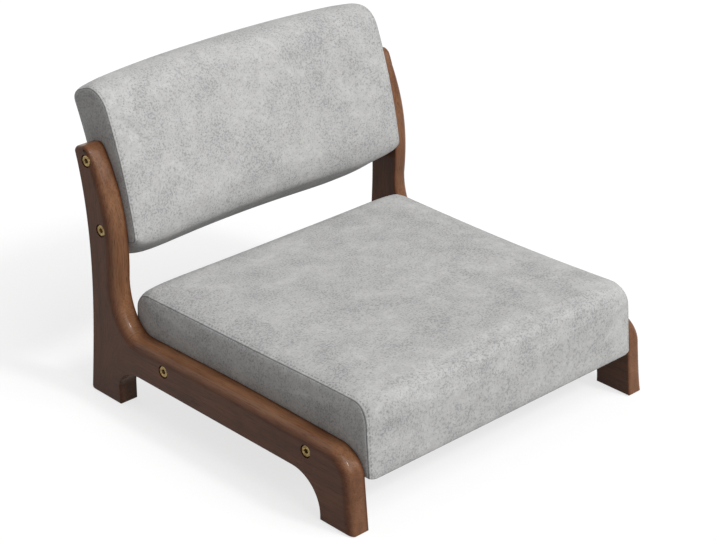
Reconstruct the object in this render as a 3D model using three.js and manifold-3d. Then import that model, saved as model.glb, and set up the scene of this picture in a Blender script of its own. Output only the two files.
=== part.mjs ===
// A low legless lounge chair for sitting at floor level, with an upholstered seat and backrest.
// Two one-piece L-shaped side boards carry a padded seat and a padded, bowed backrest.
// Each pad is held to each side board by two connector bolts, so the chair comes apart flat.
// Millimetres. X runs across the chair, -Y is its front and Z is up, with the floor at zero.
// Left and right are as seen from the front. Y is measured back from the front feet until
// the last lines, which put the origin under the middle of the whole chair.
import * as THREE from 'three';
import { mergeVertices } from 'three/addons/utils/BufferGeometryUtils.js';
import Module from 'manifold-3d';

const wasm = await Module();
wasm.setup();

// Side boards
const overall_width = 488;
const frame_depth = 464;
const board_thickness = 26;
const upright_height = 325;
const upright_depth = 44;
const upright_top_depth = 24;
const upright_lean = 9;
const upright_waist = 9;
const upright_top_slope = 6;
const upright_corner = 6;
const arch_height = 52;
const rail_height = 45;
const rail_crown = 3;
const front_foot_length = 52;
const rear_foot_length = 56;
const leg_lean = 6;
const nose_run = 37;
const nose_drop = 35;
const crook_run = 40;
const crook_rise = 63;
const front_arch_run = 45;
const front_arch_rise = 44;
const rear_arch_run = 38;
const rear_arch_rise = 28;
const soft_edge = 11;
const top_edge = 5;
const crisp_edge = 2;
const inner_chamfer = 1.2;
const rear_edge_shares = [[-1.2, 1 / 3], [-2.4, 2 / 3]];
const front_edge_shares = [[0.23, 0.7], [-0.18, 0.44]];

// Fits between pieces, and how far a cutting shape runs past a face
const fit_gap = 0.3;
const overrun = 4;

// Seat pad
const cloth_thickness = 1.5;
const seat_front_inset = -1;
const seat_rear_inset = 58;
const seat_underside = 60.5;
const seat_thickness = 86;
const seat_front_rise = 5;
const seat_crown = 7;
const seat_front_lean = 5;
const seat_front_roll = 28;
const seat_rear_roll = 20;
const seat_hem_roll = 3;
const seat_side_draw = 5;
const seat_plan_draw = 3;
const seat_turn_under = 30;

// Wooden base inside the seat pad
const batten_width = 38;
const batten_height = 30;
const cross_rail_width = 45;
const seat_board_thickness = 9;
const foam_skirt = 10;
const base_side_ease = 0.7;
const dust_cover_thickness = 0.8;
const dust_cover_margin = 12;

// Backrest pad, laid out up a leaning spine line and across it
const backrest_foot_inset = 38;
const backrest_foot_height = 199.5;
const backrest_rise = 183.5;
const backrest_lean = 57;
const backrest_thickness = 61;
const backrest_front_roll = 34;
const backrest_back_roll = 14;
const backrest_hem_roll = 5;
const backrest_undercut = 12;
const backrest_sag = 32;
const front_sag_share = 0.27;
const backrest_bow = 19;
const backrest_crown = 5;
const backrest_side_draw = 3.5;
const spine_shares = [[0.177, 0.34], [0.477, 0.659]];

// Wooden core inside the backrest pad
const core_panel_thickness = 7;
const core_panel_margin = 4;
const core_block_depth = 28;
const core_block_width = 40;
const core_overhang = 30;
const core_foot_overhang = 16;
const core_side_ease = 0.5;

// Connector bolts and threaded inserts
const bolt_head_diameter = 15;
const bolt_head_height = 3;
const bolt_head_bevel = 0.8;
const bolt_counterbore = 3.8;
const bolt_diameter = 6;
const bolt_length = 44;
const bolt_point = 1.5;
const bolt_socket_width = 6;
const bolt_socket_depth = 2.2;
const insert_diameter = 10;
const insert_length = 15;
const seat_bolt_height = 79;
const seat_front_bolt_inset = 74;
const seat_rear_bolt_inset = 142;
const back_bolt_offset = -1;
const back_lower_bolt_run = 25;
const back_upper_bolt_run = 109.5;

// Countersunk wood screws
const screw_diameter = 4;
const screw_head_diameter = 8;
const screw_head_height = 2.6;
const screw_head_rim = 0.4;
const screw_length = 26;
const screw_point = 4;
const rail_screw_margin = 60;
const core_screw_spacing = 40;

// Felt glides let into the feet
const glide_diameter = 18;
const glide_thickness = 2.5;
const glide_reveal = 1;

// Numbers of facets round the turned pieces
const bolt_sides = 12;
const insert_sides = 10;
const screw_sides = 8;
const glide_sides = 14;
const hex_sides = 6;
const roundover_steps = 3;

const half_width = overall_width / 2;
const inner_half = half_width - board_thickness;
const pad_half = inner_half - fit_gap;
const rail_top = arch_height + rail_height;

const finish = (color, roughness, metalness) => (
  new THREE.MeshStandardMaterial({ color, roughness, metalness })
);
const walnut = () => finish(0x5a3a28, 0.38, 0);
const suede_cloth = () => finish(0xc2c1bf, 0.85, 0);
const foam = () => finish(0xe9e2c8, 0.95, 0);
const plywood = () => finish(0xc9a878, 0.7, 0);
const pine = () => finish(0xd8bb8c, 0.75, 0);
const antique_brass = () => finish(0x9c8450, 0.35, 1);
const zinc = () => finish(0xa9abad, 0.4, 1);
const felt = () => finish(0x4a4038, 0.95, 0);
const backing_cloth = () => finish(0x2b2b2d, 0.9, 0);

const chair = new THREE.Group();
const assembly = new THREE.Group();
chair.add(assembly);

const place = (name, shape, material) => {
  const mesh = new THREE.Mesh(shape, material);
  mesh.name = name;
  assembly.add(mesh);
};

// A closed shape as a solid that can be joined and cut
const solid = (geometry) => {
  const bare = geometry.clone();
  bare.deleteAttribute('normal');
  bare.deleteAttribute('uv');
  const merged = mergeVertices(bare);
  const vertProperties = new Float32Array(merged.attributes.position.array);
  const triVerts = new Uint32Array(merged.index.array);
  return new wasm.Manifold(new wasm.Mesh({ numProp: 3, vertProperties, triVerts }));
};

const skin = (body) => {
  const { vertProperties, triVerts, numProp } = body.getMesh();
  const geometry = new THREE.BufferGeometry();
  geometry.setAttribute('position', new THREE.BufferAttribute(vertProperties, numProp));
  geometry.setIndex(new THREE.BufferAttribute(triVerts, 1));
  geometry.computeVertexNormals();
  return geometry;
};

const cut = (body, ...tools) => tools.reduce((left, tool) => left.subtract(tool), body);

const across = new THREE.Vector3(1, 0, 0);
const upward = new THREE.Vector3(0, 0, 1);
const outward = (side) => new THREE.Vector3(side, 0, 0);
const sides = [{ name: 'left', side: -1 }, { name: 'right', side: 1 }];

// A block between two corners, whichever way round they are given
const block = (corner, opposite) => {
  const box = new THREE.Box3().setFromPoints([corner, opposite]);
  const size = box.getSize(new THREE.Vector3());
  const middle = box.getCenter(new THREE.Vector3());
  return new THREE.BoxGeometry(size.x, size.y, size.z).translate(middle.x, middle.y, middle.z);
};

// A turned piece: radius and distance pairs revolved about an axis that points along direction
const turned = (profile, facets, direction, at) => {
  const points = profile.map(([radius, distance]) => new THREE.Vector2(radius, distance));
  const turn = new THREE.Quaternion().setFromUnitVectors(new THREE.Vector3(0, 1, 0), direction);
  return new THREE.LatheGeometry(points, facets).applyQuaternion(turn).translate(at.x, at.y, at.z);
};

const rod = (radius, from, to, facets, direction, at) => (
  turned([[0, from], [radius, from], [radius, to], [0, to]], facets, direction, at)
);

// Traces an outline anticlockwise from a start point. Each stretch runs to a point: straight,
// rounding one corner point as a quarter ellipse, or shaped by two handles. It carries a value
// from one end to the other: an edge radius on the boards, a share of the crown on the pads.
const quarter_share = 0.5523;
const stretch_curve = (start, { to, via = [] }) => {
  const from = new THREE.Vector2(...start);
  const end = new THREE.Vector2(...to);
  const handles = via.map((pair) => new THREE.Vector2(...pair));
  if (handles.length === 0) {
    return new THREE.LineCurve(from, end);
  }
  if (handles.length === 1) {
    const [corner] = handles;
    const leave = from.clone().lerp(corner, quarter_share);
    const arrive = end.clone().lerp(corner, quarter_share);
    return new THREE.CubicBezierCurve(from, leave, arrive, end);
  }
  return new THREE.CubicBezierCurve(from, handles[0], handles[1], end);
};

const trace = (start, stretches, carry = (point) => point) => {
  const marks = [];
  let pen = start;
  let ended = stretches.at(-1).values.at(-1);
  for (const stretch of stretches) {
    const curve = stretch_curve(pen, stretch);
    for (let step = 0; step < stretch.steps; step += 1) {
      const share = step / stretch.steps;
      const value = THREE.MathUtils.lerp(stretch.values[0], stretch.values.at(-1), share);
      marks.push({ point: carry(curve.getPoint(share)), value, before: step ? value : ended });
    }
    ended = stretch.values.at(-1);
    pen = stretch.to;
  }
  const facing = (a, b) => new THREE.Vector2(b.y - a.y, a.x - b.x).normalize();
  marks.forEach((mark, index) => {
    const last = marks.at(index - 1).point;
    const next = marks[(index + 1) % marks.length].point;
    mark.entry = facing(last, mark.point);
    mark.exit = facing(mark.point, next);
    mark.normal = mark.entry.clone().add(mark.exit).normalize();
  });
  return marks;
};

// The point at given depths inside the two edges that meet at a mark
const turn_limit = 0.2;
const inside = ({ point, entry, exit, normal }, depth_before, depth_after) => {
  const turn = entry.cross(exit);
  if (Math.abs(turn) < turn_limit) {
    return point.clone().addScaledVector(normal, -(depth_before + depth_after) / 2);
  }
  const x = point.x + (depth_after * entry.y - depth_before * exit.y) / turn;
  const y = point.y + (depth_before * exit.x - depth_after * entry.x) / turn;
  return new THREE.Vector2(x, y);
};

// One closed body over rings of like points, given from the lowest X to the highest
const body_over = (rings) => {
  const count = rings[0].length;
  const last = (rings.length - 1) * count;
  const index = [];
  for (let low = 0; low < last; low += count) {
    const high = low + count;
    for (let step = 0; step < count; step += 1) {
      const next = (step + 1) % count;
      index.push(low + step, low + next, high + next);
      index.push(low + step, high + next, high + step);
    }
  }
  const cap = (ring) => THREE.ShapeUtils.triangulateShape(
    ring.map((point) => new THREE.Vector2(point.y, point.z)),
    [],
  );
  cap(rings[0]).forEach(([a, b, c]) => index.push(a, c, b));
  cap(rings.at(-1)).forEach(([a, b, c]) => index.push(last + a, last + b, last + c));
  const geometry = new THREE.BufferGeometry().setFromPoints(rings.flat());
  geometry.setIndex(index);
  return solid(geometry);
};

// The backrest's spine: a leaning curve, and points set off from it
const backrest_foot = frame_depth - backrest_foot_inset;
const [spine_low, spine_high] = spine_shares.map(([lean_share, rise_share]) => [
  backrest_foot + lean_share * backrest_lean,
  backrest_foot_height + rise_share * backrest_rise,
]);
const spine = stretch_curve([backrest_foot, backrest_foot_height], {
  via: [spine_low, spine_high],
  to: [backrest_foot + backrest_lean, backrest_foot_height + backrest_rise],
});
const spine_length = spine.getLength();
const off_spine = (offset, run) => {
  const share = THREE.MathUtils.clamp(run / spine_length, 0, 1);
  const along = spine.getTangentAt(share);
  return spine.getPointAt(share)
    .addScaledVector(along, run - share * spine_length)
    .addScaledVector(new THREE.Vector2(along.y, -along.x), offset);
};

// Bolt centres, as seen from the side
const rear_bolt_place = frame_depth - seat_rear_bolt_inset;
const seat_bolts = [
  { name: 'seat_front', centre: new THREE.Vector2(seat_front_bolt_inset, seat_bolt_height) },
  { name: 'seat_rear', centre: new THREE.Vector2(rear_bolt_place, seat_bolt_height) },
];
const back_bolts = [
  { name: 'back_lower', centre: off_spine(back_bolt_offset, back_lower_bolt_run) },
  { name: 'back_upper', centre: off_spine(back_bolt_offset, back_upper_bolt_run) },
];
const at_bolt = (side, reach, { centre }) => new THREE.Vector3(side * reach, centre.x, centre.y);
const bolt_hole_radius = bolt_diameter / 2 + fit_gap;

// Side boards: an L with two feet, its upper outer edge rounded over and its arch left crisp
const rear_foot_front = frame_depth - rear_foot_length;
const upright_root = frame_depth - upright_waist - upright_depth;
const upright_top_rear = frame_depth + upright_lean;
const upright_top_front = upright_top_rear - upright_top_depth;
const upright_rear_height = upright_height - upright_top_slope;
const crook_top = rail_top + crook_rise;
const nose_low = rail_top - nose_drop;
const front_arch_foot = arch_height - front_arch_rise;
const rear_arch_foot = arch_height - rear_arch_rise;
const rail_front = leg_lean + nose_run;
const rail_rear = upright_root - crook_run;

const rear_handles = rear_edge_shares.map(([waist_share, height_share]) => [
  frame_depth + waist_share * upright_waist,
  height_share * upright_rear_height,
]);
const front_handles = front_edge_shares.map(([depth_share, height_share]) => [
  THREE.MathUtils.lerp(upright_root, upright_top_front, depth_share),
  THREE.MathUtils.lerp(crook_top, upright_height, height_share),
]);
const rail_middle = (rail_front + rail_rear) / 2;
const rail_peak = rail_top + rail_crown;

const board_marks = trace([0, glide_reveal], [
  { to: [front_foot_length, glide_reveal], steps: 2, values: [crisp_edge] },
  { to: [front_foot_length, front_arch_foot], steps: 1, values: [crisp_edge] },
  {
    via: [[front_foot_length, arch_height]],
    to: [front_foot_length + front_arch_run, arch_height],
    steps: 9,
    values: [crisp_edge],
  },
  { to: [rear_foot_front - rear_arch_run, arch_height], steps: 6, values: [crisp_edge] },
  {
    via: [[rear_foot_front, arch_height]],
    to: [rear_foot_front, rear_arch_foot],
    steps: 8,
    values: [crisp_edge],
  },
  { to: [rear_foot_front, glide_reveal], steps: 1, values: [crisp_edge] },
  { to: [frame_depth, glide_reveal], steps: 2, values: [crisp_edge] },
  {
    via: rear_handles,
    to: [upright_top_rear, upright_rear_height - upright_corner],
    steps: 12,
    values: [crisp_edge],
  },
  {
    via: [[upright_top_rear, upright_rear_height]],
    to: [upright_top_rear - upright_corner, upright_rear_height],
    steps: 3,
    values: [crisp_edge, top_edge],
  },
  {
    to: [upright_top_front + upright_corner, upright_height],
    steps: 2,
    values: [top_edge],
  },
  {
    via: [[upright_top_front, upright_height]],
    to: [upright_top_front - upright_corner / 2, upright_height - upright_corner],
    steps: 3,
    values: [top_edge, soft_edge],
  },
  { via: front_handles, to: [upright_root, crook_top], steps: 12, values: [soft_edge] },
  {
    via: [[upright_root, rail_top]],
    to: [rail_rear, rail_top],
    steps: 9,
    values: [soft_edge],
  },
  {
    via: [[rail_middle, rail_peak], [rail_middle, rail_peak]],
    to: [rail_front, rail_top],
    steps: 9,
    values: [soft_edge],
  },
  { via: [[leg_lean, rail_top]], to: [leg_lean, nose_low], steps: 9, values: [soft_edge] },
  { to: [0, glide_reveal], steps: 4, values: [soft_edge] },
]);

const side_board = (side) => {
  const ring = (reach, depth) => board_marks.map((mark) => {
    const { x, y } = inside(mark, depth(mark.before), depth(mark.value));
    return new THREE.Vector3(side * reach(Math.max(mark.before, mark.value)), x, y);
  });
  const rings = [
    ring(() => inner_half, () => inner_chamfer),
    ring(() => inner_half + inner_chamfer, () => 0),
  ];
  for (let step = 0; step <= roundover_steps; step += 1) {
    const angle = step / roundover_steps * Math.PI / 2;
    rings.push(ring(
      (edge) => half_width - edge * (1 - Math.sin(angle)),
      (edge) => edge * (1 - Math.cos(angle)),
    ));
  }
  return body_over(side < 0 ? rings.reverse() : rings);
};

const bolt_seat = (side, bolt) => {
  const at = at_bolt(side, half_width, bolt);
  const head_radius = bolt_head_diameter / 2 + fit_gap;
  const head = rod(head_radius, -bolt_counterbore, overrun, bolt_sides, outward(side), at);
  const shank_run = board_thickness + overrun;
  const shank = rod(bolt_hole_radius, -shank_run, overrun, bolt_sides, outward(side), at);
  return [solid(head), solid(shank)];
};

const glide_places = [
  { name: 'front', set: front_foot_length / 2 },
  { name: 'rear', set: frame_depth - rear_foot_length / 2 },
];
const glide_reach = half_width - board_thickness / 2;
const glide_radius = glide_diameter / 2;

for (const { name, side } of sides) {
  const bolt_seats = [...seat_bolts, ...back_bolts].flatMap((bolt) => bolt_seat(side, bolt));
  const glide_seats = [];
  for (const { name: end, set } of glide_places) {
    const at = new THREE.Vector3(side * glide_reach, set, 0);
    const pocket_depth = glide_thickness + fit_gap;
    const pocket = rod(glide_radius + fit_gap, -overrun, pocket_depth, glide_sides, upward, at);
    glide_seats.push(solid(pocket));
    const glide = rod(glide_radius, 0, glide_thickness, glide_sides, upward, at);
    place(`${name}_${end}_foot_glide`, glide, felt());
  }
  const board = cut(side_board(side), ...bolt_seats, ...glide_seats);
  place(`${name}_side_frame`, skin(board), walnut());
}

// Pads: rings of one outline set across the width. The crown swells between the side seams,
// and smaller rings past the seams close each side as a boxing panel.
const station_shares = [-1, -0.93, -0.76, -0.4, 0, 0.4, 0.76, 0.93, 1];
const boxing_shares = [0.45, 0.8];
const crown_power = 4;
const sag_power = 8;

const pad = (marks, crown, inset, shape) => {
  const centre = new THREE.Vector2();
  marks.forEach(({ point }) => centre.addScaledVector(point, 1 / marks.length));
  const ring = (station, shrink) => marks.map(({ point, normal, value }) => {
    const swell = crown * value * (1 - Math.abs(station) ** crown_power);
    const place_on = point.clone()
      .addScaledVector(normal, swell - inset)
      .sub(centre)
      .multiplyScalar(shrink)
      .add(centre);
    const { reach, back, drop } = shape(place_on, station);
    return new THREE.Vector3(station * (reach - inset), place_on.x + back, place_on.y - drop);
  });
  return body_over([
    ...boxing_shares.map((share) => ring(-1, share)),
    ...station_shares.map((share) => ring(share, 1)),
    ...boxing_shares.toReversed().map((share) => ring(1, share)),
  ]);
};

const through_holes = (bolts) => bolts.map((bolt) => (
  solid(rod(bolt_hole_radius, -half_width, half_width, bolt_sides, across, at_bolt(0, 0, bolt)))
));

// Seat pad outline, from the front hem along the underside, up the rear and over the top
const seat_front = seat_front_inset;
const seat_rear = frame_depth - seat_rear_inset;
const seat_depth = seat_rear - seat_front;
const seat_top = seat_underside + seat_thickness;
const seat_hem = seat_underside + seat_hem_roll;
const seat_front_top = seat_top + seat_front_rise;
const seat_face = seat_front + seat_front_lean;
const seat_middle = (seat_front + seat_rear) / 2;
const lining = cloth_thickness + fit_gap;
const base_low = seat_underside + lining;
const batten_top = base_low + batten_height;
const seat_board_low = batten_top + fit_gap;
const seat_board_top = seat_board_low + seat_board_thickness;

const seat_marks = trace([seat_front + seat_hem_roll, seat_underside], [
  { to: [seat_rear - seat_hem_roll, seat_underside], steps: 5, values: [0] },
  { to: [seat_rear, seat_hem], steps: 1, values: [0] },
  { to: [seat_rear, seat_top - seat_rear_roll], steps: 2, values: [0, 0.5] },
  {
    via: [[seat_rear, seat_top]],
    to: [seat_rear - seat_rear_roll, seat_top],
    steps: 5,
    values: [0.5, 1],
  },
  {
    via: [[seat_middle, seat_top], [seat_middle, seat_top]],
    to: [seat_face + seat_front_roll, seat_front_top],
    steps: 8,
    values: [1],
  },
  {
    via: [[seat_face, seat_front_top]],
    to: [seat_face, seat_front_top - seat_front_roll],
    steps: 6,
    values: [1, 0.5],
  },
  { to: [seat_front, seat_hem], steps: 3, values: [0.5, 0] },
  { to: [seat_front + seat_hem_roll, seat_underside], steps: 1, values: [0] },
]);

// The sides stand straight against the wooden base and draw in above it
const seat_pad = (inset) => pad(seat_marks, seat_crown, inset, (point) => {
  const above_base = (point.y - seat_board_top) / (seat_top - seat_board_top);
  const height_share = THREE.MathUtils.clamp(above_base, 0, 1);
  const depth_share = THREE.MathUtils.clamp((point.x - seat_front) / seat_depth, 0, 1);
  const seam_draw = seat_side_draw + seat_plan_draw * Math.sin(Math.PI * depth_share);
  return { reach: pad_half - seam_draw * height_share ** 3, back: 0, drop: 0 };
});

// Seat cover: cloth over the top, front, rear and sides, turned under the base all round
const seat_mouth = block(
  new THREE.Vector3(
    -pad_half + seat_turn_under,
    seat_front + seat_turn_under,
    seat_underside - overrun,
  ),
  new THREE.Vector3(
    pad_half - seat_turn_under,
    seat_rear - seat_turn_under,
    seat_underside + overrun,
  ),
);
const seat_cover = cut(
  seat_pad(0),
  seat_pad(cloth_thickness),
  solid(seat_mouth),
  ...through_holes(seat_bolts),
);
place('seat_cover', skin(seat_cover), suede_cloth());

// Seat base: two side battens that take the bolts, two cross rails and a plywood board on top
const base_half = pad_half - lining - base_side_ease;
const base_front = seat_face + foam_skirt;
const base_rear = seat_rear - foam_skirt;
const bolt_root = half_width - bolt_counterbore + fit_gap;
const bolt_tip = bolt_root - bolt_length;

const insert_seats = (side, face, bolts) => bolts.flatMap((bolt) => {
  const at = at_bolt(side, face, bolt);
  const insert_radius = insert_diameter / 2 + fit_gap;
  const wide_run = insert_length + fit_gap;
  const narrow_run = face - bolt_tip + fit_gap;
  const wide = rod(insert_radius, -wide_run, overrun, insert_sides, outward(side), at);
  const narrow = rod(bolt_hole_radius, -narrow_run, overrun, bolt_sides, outward(side), at);
  return [solid(wide), solid(narrow)];
});

// A wood screw, or with a gap and a rise the hole that takes it
const screw = (direction, at, gap = 0, rise = 0) => {
  const radius = screw_diameter / 2 + gap;
  const head_radius = screw_head_diameter / 2 + gap;
  const tip = -screw_length - gap;
  return turned([
    [0, tip],
    [radius, tip + screw_point],
    [radius, -screw_head_height - gap],
    [head_radius, -screw_head_rim - gap],
    [head_radius, rise],
    [0, rise],
  ], screw_sides, direction, at);
};

const seat_screws = sides.flatMap(({ name, side }) => {
  const batten_middle = side * (base_half - batten_width / 2);
  const rail_place = side * (base_half - batten_width - rail_screw_margin);
  const front_row = base_front + cross_rail_width / 2;
  const rear_row = base_rear - cross_rail_width / 2;
  return [
    { name: `${name}_front_batten_screw`, x: batten_middle, y: front_row },
    { name: `${name}_rear_batten_screw`, x: batten_middle, y: rear_row },
    { name: `${name}_front_rail_screw`, x: rail_place, y: front_row },
    { name: `${name}_rear_rail_screw`, x: rail_place, y: rear_row },
  ];
}).map(({ name, x, y }) => ({ name, at: new THREE.Vector3(x, y, seat_board_top - fit_gap) }));
const seat_screw_holes = seat_screws.map(({ at }) => solid(screw(upward, at, fit_gap, overrun)));
for (const { name, at } of seat_screws) {
  place(`seat_${name}`, screw(upward, at), zinc());
}

for (const { name, side } of sides) {
  const batten = block(
    new THREE.Vector3(side * base_half, base_front, base_low),
    new THREE.Vector3(side * (base_half - batten_width), base_rear, batten_top),
  );
  const holes = [...insert_seats(side, base_half, seat_bolts), ...seat_screw_holes];
  place(`${name}_seat_batten`, skin(cut(solid(batten), ...holes)), pine());
}

const rail_half = base_half - batten_width - fit_gap;
const cross_rails = [
  { name: 'front', low: base_front, high: base_front + cross_rail_width },
  { name: 'rear', low: base_rear - cross_rail_width, high: base_rear },
];
for (const { name, low, high } of cross_rails) {
  const rail = block(
    new THREE.Vector3(-rail_half, low, base_low),
    new THREE.Vector3(rail_half, high, batten_top),
  );
  place(`seat_${name}_cross_rail`, skin(cut(solid(rail), ...seat_screw_holes)), pine());
}

const seat_board = block(
  new THREE.Vector3(-base_half, base_front, seat_board_low),
  new THREE.Vector3(base_half, base_rear, seat_board_top),
);
place('seat_plywood_board', skin(cut(solid(seat_board), ...seat_screw_holes)), plywood());

// Seat foam: fills the cover over the board, with a skirt down the front and rear of the base
const base_room = block(
  new THREE.Vector3(-half_width, base_front - fit_gap, seat_underside - overrun),
  new THREE.Vector3(half_width, base_rear + fit_gap, seat_board_top + fit_gap),
);
place('seat_foam', skin(cut(seat_pad(lining), solid(base_room))), foam());

// Dust cover: a thin sheet that closes the mouth of the seat cover from below
const dust_cover_top = seat_underside - fit_gap;
const dust_cover = block(
  new THREE.Vector3(
    -pad_half + dust_cover_margin,
    seat_front + dust_cover_margin,
    dust_cover_top - dust_cover_thickness,
  ),
  new THREE.Vector3(
    pad_half - dust_cover_margin,
    seat_rear - dust_cover_margin,
    dust_cover_top,
  ),
);
place('seat_dust_cover', dust_cover, backing_cloth());

// Backrest pad outline as offsets from the spine and runs up it, from the front hem along the
// undercut foot, up the back and over the top
const back_half = backrest_thickness / 2;
const hem_front_run = backrest_undercut / 2;
const hem_back_run = -backrest_undercut / 2;

const backrest_hem = [-back_half + backrest_hem_roll, hem_front_run - backrest_hem_roll / 2];
const backrest_marks = trace(backrest_hem, [
  {
    to: [back_half - backrest_hem_roll, hem_back_run + backrest_hem_roll / 2],
    steps: 4,
    values: [0],
  },
  {
    via: [[back_half, hem_back_run]],
    to: [back_half, hem_back_run + backrest_hem_roll],
    steps: 2,
    values: [0],
  },
  { to: [back_half, spine_length - backrest_back_roll], steps: 8, values: [0] },
  {
    via: [[back_half, spine_length]],
    to: [back_half - backrest_back_roll, spine_length],
    steps: 4,
    values: [0, 0.4],
  },
  { to: [backrest_front_roll - back_half, spine_length], steps: 1, values: [0.4, 0.6] },
  {
    via: [[-back_half, spine_length]],
    to: [-back_half, spine_length - backrest_front_roll],
    steps: 8,
    values: [0.6, 1],
  },
  { to: [-back_half, hem_front_run + backrest_hem_roll], steps: 8, values: [1, 0.5] },
  {
    via: [[-back_half, hem_front_run]],
    to: backrest_hem,
    steps: 2,
    values: [0.5, 0],
  },
], ({ x, y }) => off_spine(x, y));

// The sides stand straight against the core's blocks and draw in towards the seams round them.
// Between them the foot sags below the lower bolts, most at the back.
const [lower_bolt, upper_bolt] = back_bolts.map(({ centre }) => centre);
const core_line = upper_bolt.clone().sub(lower_bolt);
const core_span = core_line.length();
const sag_fade = back_lower_bolt_run;
const backrest_pad = (inset) => pad(backrest_marks, backrest_crown, inset, (point, station) => {
  const from_bolt = point.clone().sub(lower_bolt);
  const behind_share = from_bolt.cross(core_line) / core_span / back_half;
  const run = from_bolt.dot(core_line) / core_span - core_span - core_overhang;
  const rise_share = run / (spine_length - back_upper_bolt_run - core_overhang);
  const edge_share = Math.max(Math.abs(behind_share), rise_share);
  const seam_share = THREE.MathUtils.clamp(edge_share, 0, 1);
  const depth_share = (1 + behind_share) / 2;
  const low_share = THREE.MathUtils.clamp((lower_bolt.y - point.y) / sag_fade, 0, 1);
  const sag_share = THREE.MathUtils.lerp(front_sag_share, 1, depth_share) * low_share;
  return {
    reach: pad_half - backrest_side_draw * seam_share ** 3,
    back: backrest_bow * (1 - station ** 2),
    drop: backrest_sag * sag_share * (1 - station ** sag_power),
  };
});

const backrest_cover = cut(
  backrest_pad(0),
  backrest_pad(cloth_thickness),
  ...through_holes(back_bolts),
);
place('backrest_cover', skin(backrest_cover), suede_cloth());

// Backrest core, laid out in a frame that leans through the two bolts: X across, Y back from
// the bolts and Z up from the lower one. The panel is bowed like the pad.
const core_lean = Math.atan2(core_line.x, core_line.y);
const core_half = base_half - core_side_ease;
const core_low = -core_foot_overhang;
const core_high = core_span + core_overhang;
const panel_front = core_block_depth / 2 + fit_gap;
const panel_back = panel_front + core_panel_thickness;
const bow_at = (x) => backrest_bow * (1 - (x / pad_half) ** 2);
const lean_back = (geometry) => (
  geometry.rotateX(-core_lean).translate(0, lower_bolt.x, lower_bolt.y)
);

const bow_facets = 14;
const bowed_slab = (reach, from, to, low, high) => {
  const end = bow_at(reach);
  const handle = 2 * backrest_bow - end;
  const shape = new THREE.Shape();
  shape.moveTo(-reach, from + end);
  shape.quadraticCurveTo(0, from + handle, reach, from + end);
  shape.lineTo(reach, to + end);
  shape.quadraticCurveTo(0, to + handle, -reach, to + end);
  const depth = high - low;
  const slab = new THREE.ExtrudeGeometry(shape, {
    depth,
    bevelEnabled: false,
    curveSegments: bow_facets,
  });
  return solid(lean_back(slab.translate(0, 0, low)));
};

const core_back = new THREE.Vector3(0, Math.cos(core_lean), -Math.sin(core_lean));
const core_screw_reach = core_half - core_block_width / 2;
const head_edge_reach = core_screw_reach + screw_head_diameter / 2;
const core_screws = sides.flatMap(({ name, side }) => [-1, 1].map((step) => {
  const height = (core_span + step * core_screw_spacing) / 2;
  const back = panel_back + bow_at(head_edge_reach) - fit_gap;
  const at = new THREE.Vector3(side * core_screw_reach, back, height)
    .applyAxisAngle(across, -core_lean)
    .add(new THREE.Vector3(0, lower_bolt.x, lower_bolt.y));
  return { name: `backrest_${name}_${step < 0 ? 'lower' : 'upper'}_panel_screw`, at };
}));
const core_screw_holes = core_screws.map(({ at }) => solid(screw(core_back, at, fit_gap, overrun)));
for (const { name, at } of core_screws) {
  place(name, screw(core_back, at), zinc());
}

const panel_reach = core_half - core_panel_margin;
const panel = bowed_slab(panel_reach, panel_front, panel_back, core_low, core_high);
place('backrest_plywood_panel', skin(cut(panel, ...core_screw_holes)), plywood());

// Everything behind the panel's front face, cut from the blocks and the front foam
const behind_panel = (gap) => bowed_slab(
  half_width,
  panel_front - fit_gap,
  panel_back + backrest_thickness,
  core_low - gap,
  core_high + gap,
);
const block_room = (side, outer, gap) => {
  const inner = core_half - core_block_width - gap;
  return solid(lean_back(block(
    new THREE.Vector3(side * inner, -core_block_depth / 2 - gap, core_low - gap),
    new THREE.Vector3(side * outer, panel_back, core_high + gap),
  )));
};
for (const { name, side } of sides) {
  const holes = [...insert_seats(side, core_half, back_bolts), ...core_screw_holes];
  const core_block = cut(block_room(side, core_half, 0), behind_panel(overrun), ...holes);
  place(`backrest_${name}_core_block`, skin(core_block), pine());
}

// Backrest foam: a thick pad in front that wraps over and under, and a thin one behind
const front_foam = cut(
  backrest_pad(lining),
  behind_panel(fit_gap),
  ...sides.map(({ side }) => block_room(side, half_width, fit_gap)),
);
place('backrest_front_foam', skin(front_foam), foam());
const rear_foam = backrest_pad(lining).intersect(bowed_slab(
  half_width,
  panel_back + fit_gap,
  panel_back + backrest_thickness,
  core_low,
  core_high,
));
place('backrest_rear_foam', skin(rear_foam), foam());

// Bolts and inserts at every joint between a pad and a side board
const connector_bolt = (side, bolt) => {
  const at = at_bolt(side, bolt_root, bolt);
  const radius = bolt_diameter / 2;
  const head_radius = bolt_head_diameter / 2;
  const body = turned([
    [0, -bolt_length],
    [radius - bolt_point / 2, -bolt_length],
    [radius, -bolt_length + bolt_point],
    [radius, 0],
    [head_radius, 0],
    [head_radius, bolt_head_height - bolt_head_bevel],
    [head_radius - bolt_head_bevel, bolt_head_height],
    [0, bolt_head_height],
  ], bolt_sides, outward(side), at);
  const socket_radius = bolt_socket_width / 2 / Math.cos(Math.PI / hex_sides);
  const socket_floor = bolt_head_height - bolt_socket_depth;
  const socket = rod(
    socket_radius,
    socket_floor,
    bolt_head_height + overrun,
    hex_sides,
    outward(side),
    at,
  );
  return skin(cut(solid(body), solid(socket)));
};

const threaded_insert = (side, face, bolt) => {
  const outer = insert_diameter / 2;
  return turned([
    [bolt_hole_radius, -insert_length],
    [outer, -insert_length],
    [outer, 0],
    [bolt_hole_radius, 0],
    [bolt_hole_radius, -insert_length],
  ], insert_sides, outward(side), at_bolt(side, face, bolt));
};

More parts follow.
